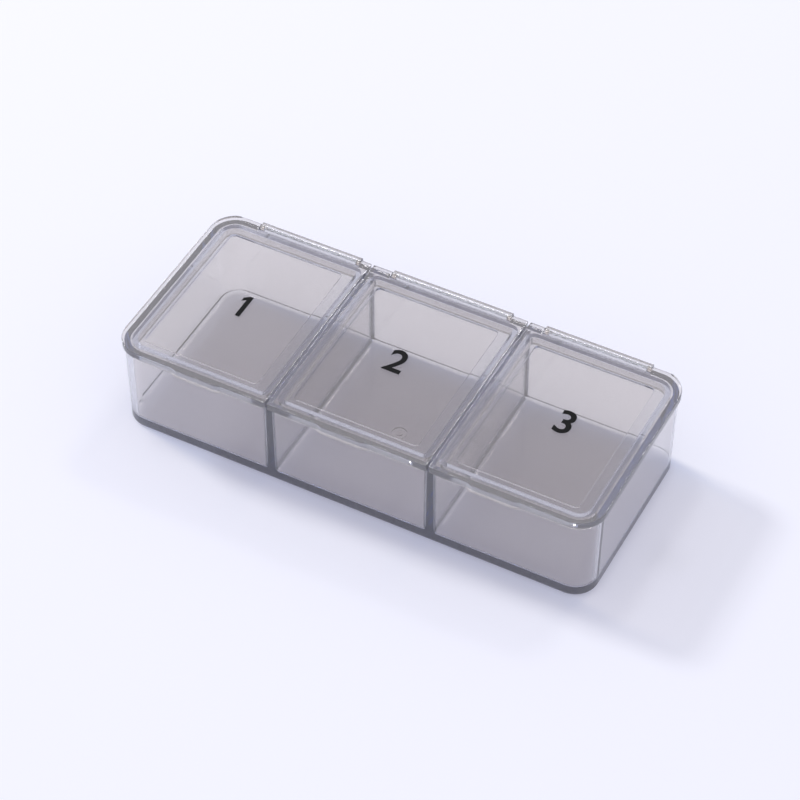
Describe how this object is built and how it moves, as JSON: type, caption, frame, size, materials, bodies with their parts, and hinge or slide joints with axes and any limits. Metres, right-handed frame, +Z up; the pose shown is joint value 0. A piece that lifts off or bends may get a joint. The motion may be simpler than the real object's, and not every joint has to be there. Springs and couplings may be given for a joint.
{
  "type": "daily pill organizer",
  "caption": "Long flat box of clear smoky plastic with a row of compartments, each closed by its own hinged lid with a sunken panel, a skirt and a thumb lip.",
  "frame": {"origin": "middle of the tray's underside, on the surface that the box stands on", "axes": "+X along the row towards compartment 3, +Y to the hinges, +Z up out of the tray"},
  "size_m": [0.105, 0.0452, 0.0221],
  "materials": {
    "smoky_clear_plastic": "polished, see-through, smoky grey"
  },
  "bodies": {
    "tray": {"tray": "smoky_clear_plastic"},
    "lid_1": {"lid_1": "smoky_clear_plastic"},
    "lid_2": {"lid_2": "smoky_clear_plastic"},
    "lid_3": {"lid_3": "smoky_clear_plastic"}
  },
  "joints": [
    {"name": "lid_1_hinge", "type": "hinge", "parent": "tray", "child": "lid_1", "pos_m": [-0.0317, 0.02155, 0.02107], "axis": [-1, 0, 0], "range_deg": [0, 115]},
    {"name": "lid_2_hinge", "type": "hinge", "parent": "tray", "child": "lid_2", "pos_m": [0.0006, 0.02155, 0.02107], "axis": [-1, 0, 0], "range_deg": [0, 115]},
    {"name": "lid_3_hinge", "type": "hinge", "parent": "tray", "child": "lid_3", "pos_m": [0.0329, 0.02155, 0.02107], "axis": [-1, 0, 0], "range_deg": [0, 115]}
  ]
}
